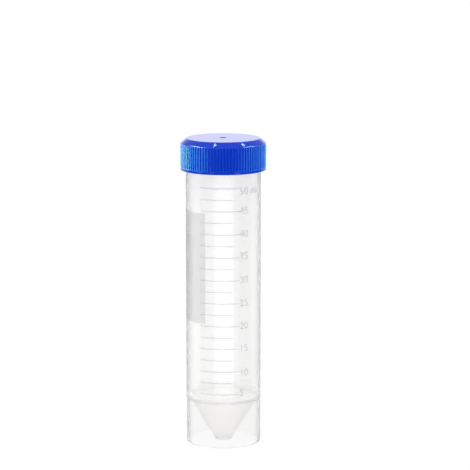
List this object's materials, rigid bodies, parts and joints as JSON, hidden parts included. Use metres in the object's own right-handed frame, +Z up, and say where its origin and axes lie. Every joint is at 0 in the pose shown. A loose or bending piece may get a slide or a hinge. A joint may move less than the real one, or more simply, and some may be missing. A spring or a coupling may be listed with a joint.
{
  "type": "conical tube with screw cap",
  "caption": "Self-standing plastic tube with a conical bottom inside an open skirt, a moulded volume scale and a ribbed flat-top screw cap.",
  "frame": {"origin": "middle of the foot ring, on the surface that the tube stands on", "axes": "+Z up along the tube's axis; the volume scale faces -Y; +X to the right of the scale"},
  "size_m": [0.033, 0.033, 0.1189],
  "materials": {
    "natural_plastic": "translucent natural polypropylene, smooth outside",
    "blue_plastic": "opaque blue moulding, satin gloss"
  },
  "bodies": {
    "tube": {"tube_body": "natural_plastic"},
    "cap": {"screw_cap": "blue_plastic"}
  },
  "joints": [
    {"name": "cap_lift", "type": "slide", "parent": "tube", "child": "cap", "axis": [0, 0, 1], "range_m": [0, 0.03]}
  ]
}
